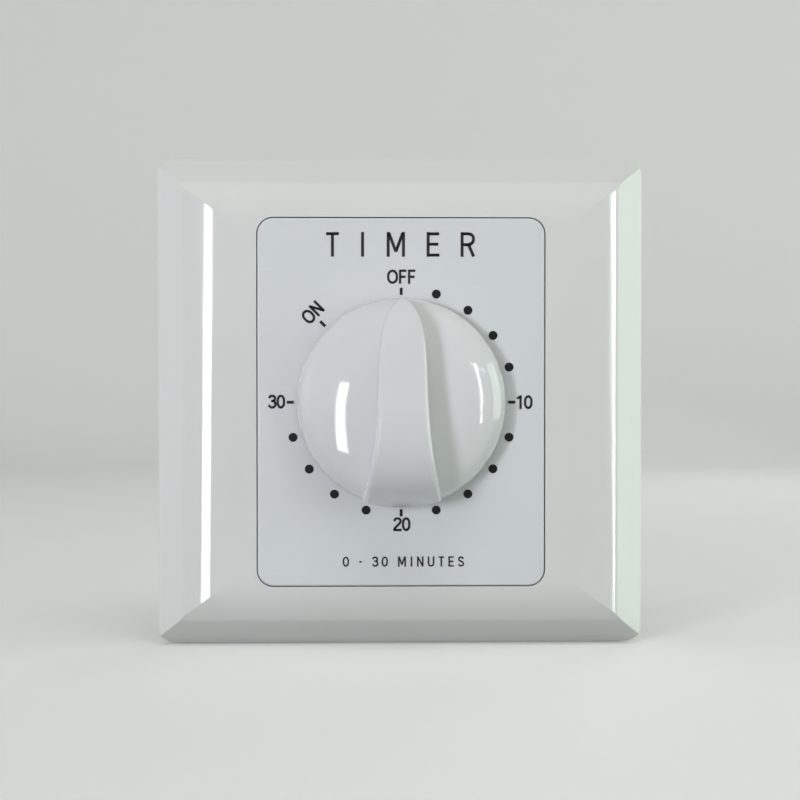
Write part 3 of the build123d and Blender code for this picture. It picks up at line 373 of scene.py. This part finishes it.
# A printed word: its signs side by side as strokes, sized by its height and laid on the dial panel
def printedWord(word, name, centre, wordHeight, turnDegrees, strokeWidth, letterGap):
    lines = bpy.data.curves.new(name, "CURVE")
    lines.dimensions = "3D"
    lines.resolution_u = 8
    reach = 0.0
    for sign in word:
        width, strokes = lettering[sign]
        for kind, points in strokes:
            line = lines.splines.new("BEZIER")
            line.bezier_points.add(len(points) - 1)
            line.use_cyclic_u = kind == "round"
            for point, (x, y) in zip(line.bezier_points, points):
                point.co = (reach + width / 2 + x, y, 0.0)
                point.handle_left_type = point.handle_right_type = "VECTOR" if kind == "straight" else "AUTO"
        reach += width + letterGap
    source = bpy.data.objects.new(name + "Source", lines)
    bpy.context.scene.collection.objects.link(source)
    modifier = source.modifiers.new("inkStroke", "NODES")
    modifier.node_group = strokeTree
    sizes = {"Stroke Width": strokeWidth, "Ink Thickness": strokeDepth}
    for socket in strokeTree.interface.items_tree:
        if socket.in_out == "INPUT" and socket.name in sizes:
            modifier[socket.identifier] = sizes[socket.name]
    mesh = settledMesh(source, name)
    bpy.data.objects.remove(source)
    low = Vector([min(vertex.co[axis] for vertex in mesh.vertices) for axis in range(3)])
    high = Vector([max(vertex.co[axis] for vertex in mesh.vertices) for axis in range(3)])
    middle = Matrix.Translation(-(low + high) / 2)
    scaled = Matrix.Diagonal((wordHeight * mm, wordHeight * mm, legendThickness / (high.z - low.z), 1.0))
    turned = Matrix.Rotation(math.radians(turnDegrees), 4, "Z")
    facing = Matrix.Rotation(math.pi / 2, 4, "X")
    depth = -minuteMarks["Panel Face"] - legendThickness / 2
    onPanel = Matrix.Translation((centre[0] * mm, depth, centre[1] * mm))
    mesh.transform(onPanel @ facing @ turned @ scaled @ middle)
    mesh.materials.clear()
    mesh.materials.append(padInk)
    return addPiece(name, mesh, "wall_plate")


for word, legend in legends.items():
    printedWord(word, *legend)
print("legends:", len(legends))

stageLook = {
    "floorHeight": -43.3 * mm,
    "backDistance": 0.9,
    "sweepRadius": 0.35,
    "frontDistance": 2.2,
    "halfWidth": 2.4,
    "backHeight": 2.4,
    "bendSteps": 16,
    "colour": "#EFEFED",
    "cameraGlow": 0.2,
    "shadeColour": "#BDC1BD",  # what the switch sees of the board: a darker table below it
}


# Floor and backdrop in one sweep of painted board
def paleSweep(look):
    outline = [(-look["frontDistance"], 0.0), (look["backDistance"] - look["sweepRadius"], 0.0)]
    for step in range(1, look["bendSteps"] + 1):
        angle = math.pi / 2 * step / look["bendSteps"]
        outline.append((look["backDistance"] - look["sweepRadius"] * (1 - math.sin(angle)),
                        look["sweepRadius"] * (1 - math.cos(angle))))
    outline.append((look["backDistance"], look["backHeight"]))
    points = [(side * look["halfWidth"], y, look["floorHeight"] + z) for y, z in outline for side in (-1, 1)]
    faces = [(2 * row, 2 * row + 1, 2 * row + 3, 2 * row + 2) for row in range(len(outline) - 1)]
    mesh = bpy.data.meshes.new("paleSweep")
    mesh.from_pydata(points, [], faces)
    mesh.shade_smooth()
    board, tree, shader, place = newMaterial("paintedBoard")
    grain = addNode(tree, "ShaderNodeTexNoise", {"Scale": 60.0, "Detail": 2.0}, {"Vector": place})
    rough = addNode(tree, "ShaderNodeMapRange", {"To Min": 0.6, "To Max": 0.75}, {"Value": grain.outputs["Fac"]})
    tree.links.new(rough.outputs["Result"], shader.inputs["Roughness"])
    seen = addNode(tree, "ShaderNodeLightPath").outputs["Is Camera Ray"]
    paint = addNode(tree, "ShaderNodeMix", {"data_type": "RGBA", 6: linear(look["shadeColour"]),
                    7: linear(look["colour"])}, {0: seen})
    lift = addNode(tree, "ShaderNodeMath", {"operation": "MULTIPLY", 1: look["cameraGlow"]}, {0: seen})
    tree.links.new(paint.outputs[2], shader.inputs["Base Color"])
    tree.links.new(lift.outputs["Value"], shader.inputs["Emission Strength"])
    shader.inputs["Emission Color"].default_value = linear(look["colour"])
    shader.inputs["Specular IOR Level"].default_value = 0.2
    mesh.materials.append(board)
    sweep = bpy.data.objects.new("paleSweep", mesh)
    bpy.context.scene.collection.objects.link(sweep)
    sweep.visible_glossy = False  # the gloss shows the room below the table's edge, as on a wall


paleSweep(stageLook)

lamps = {
    # name: (degrees right of the axis, degrees up, distance, width, height, roll, radiance, colour, in the gloss)
    "windowLeft": (-30.0, -9.0, 0.9, 0.120, 0.58, -11.0, 15.0, "#F8F8FF", True),
    "windowRight": (46.0, 4.0, 0.9, 0.026, 0.50, 3.0, 17.0, "#F4FFF6", True),
    "tubeRight": (47.0, 17.0, 0.9, 0.20, 0.014, -24.0, 8.0, "#FFFAF4", True),
    "wallRight": (88.0, 6.0, 1.0, 0.80, 0.60, 0.0, 3.0, "#F0FFF2", True),
    "wallLeft": (-92.0, 6.0, 1.0, 0.70, 0.60, 0.0, 0.9, "#F8F8FF", True),
    "keyLeft": (-32.0, 3.0, 0.9, 0.11, 0.30, 0.0, 23.0, "#F6F6FF", False),
    "ceilingLamp": (4.0, 60.0, 0.40, 0.26, 0.12, 0.0, 3.1, "#FFFFFB", False),
    "behindFill": (150.0, 30.0, 0.6, 0.24, 0.24, 0.0, 2.5, "#FFFFFB", False),
}


# A flat lamp that faces the switch; its power gives the same radiance whatever its size
def flatLamp(name, right, up, distance, width, height, roll, radiance, colour, inGloss):
    light = bpy.data.lights.new(name, "AREA")
    light.shape = "RECTANGLE"
    light.size = width
    light.size_y = height
    light.color = linear(colour)[:3]
    light.energy = radiance * width * height * math.pi
    lamp = bpy.data.objects.new(name, light)
    across, rise = math.radians(right), math.radians(up)
    away = Vector((math.sin(across) * math.cos(rise), -math.cos(across) * math.cos(rise), math.sin(rise)))
    facing = away.to_track_quat("Z", "Y").to_matrix().to_4x4()
    lamp.matrix_world = Matrix.Translation(away * distance) @ facing @ Matrix.Rotation(math.radians(roll), 4, "Z")
    lamp.visible_camera = False
    lamp.visible_glossy = inGloss
    bpy.context.scene.collection.objects.link(lamp)


for name, lampLook in lamps.items():
    flatLamp(name, *lampLook)

room = {"ceiling": "#CFD2CC", "table": "#9A9E9A", "strength": 0.48}
world = bpy.data.worlds.new("room")
bpy.context.scene.world = world
world.use_nodes = True
roomTree = world.node_tree
direction = addNode(roomTree, "ShaderNodeTexCoord")
upward = addNode(roomTree, "ShaderNodeSeparateXYZ", None, {"Vector": direction.outputs["Generated"]})
fade = addNode(roomTree, "ShaderNodeMapRange", {"From Min": -0.7, "From Max": 0.7}, {"Value": upward.outputs["Z"]})
paint = addNode(roomTree, "ShaderNodeMix", {"data_type": "RGBA", 6: linear(room["table"]),
                7: linear(room["ceiling"])}, {0: fade.outputs["Result"]})
background = roomTree.nodes["Background"]
roomTree.links.new(paint.outputs[2], background.inputs["Color"])
background.inputs["Strength"].default_value = room["strength"]

viewpoint = {"left": 1.3, "above": 1.0, "distance": 0.30, "framed": 144.1 * mm, "sensor": 36, "shift": 0.0016}
cameraData = bpy.data.cameras.new("camera")
camera = bpy.data.objects.new("camera", cameraData)
bpy.context.scene.collection.objects.link(camera)
leftTurn, upTurn = math.radians(viewpoint["left"]), math.radians(viewpoint["above"])
towards = Vector((-math.sin(leftTurn) * math.cos(upTurn), -math.cos(leftTurn) * math.cos(upTurn), math.sin(upTurn)))
camera.matrix_world = (Matrix.Translation(towards * viewpoint["distance"])
                       @ towards.to_track_quat("Z", "Y").to_matrix().to_4x4())
cameraData.sensor_width = viewpoint["sensor"]
cameraData.lens = viewpoint["sensor"] * viewpoint["distance"] / viewpoint["framed"]
cameraData.clip_start = 0.01
cameraData.shift_y = viewpoint["shift"]
bpy.context.scene.camera = camera
bpy.context.scene.view_settings.view_transform = "Standard"
print("stage, lamps and camera set")
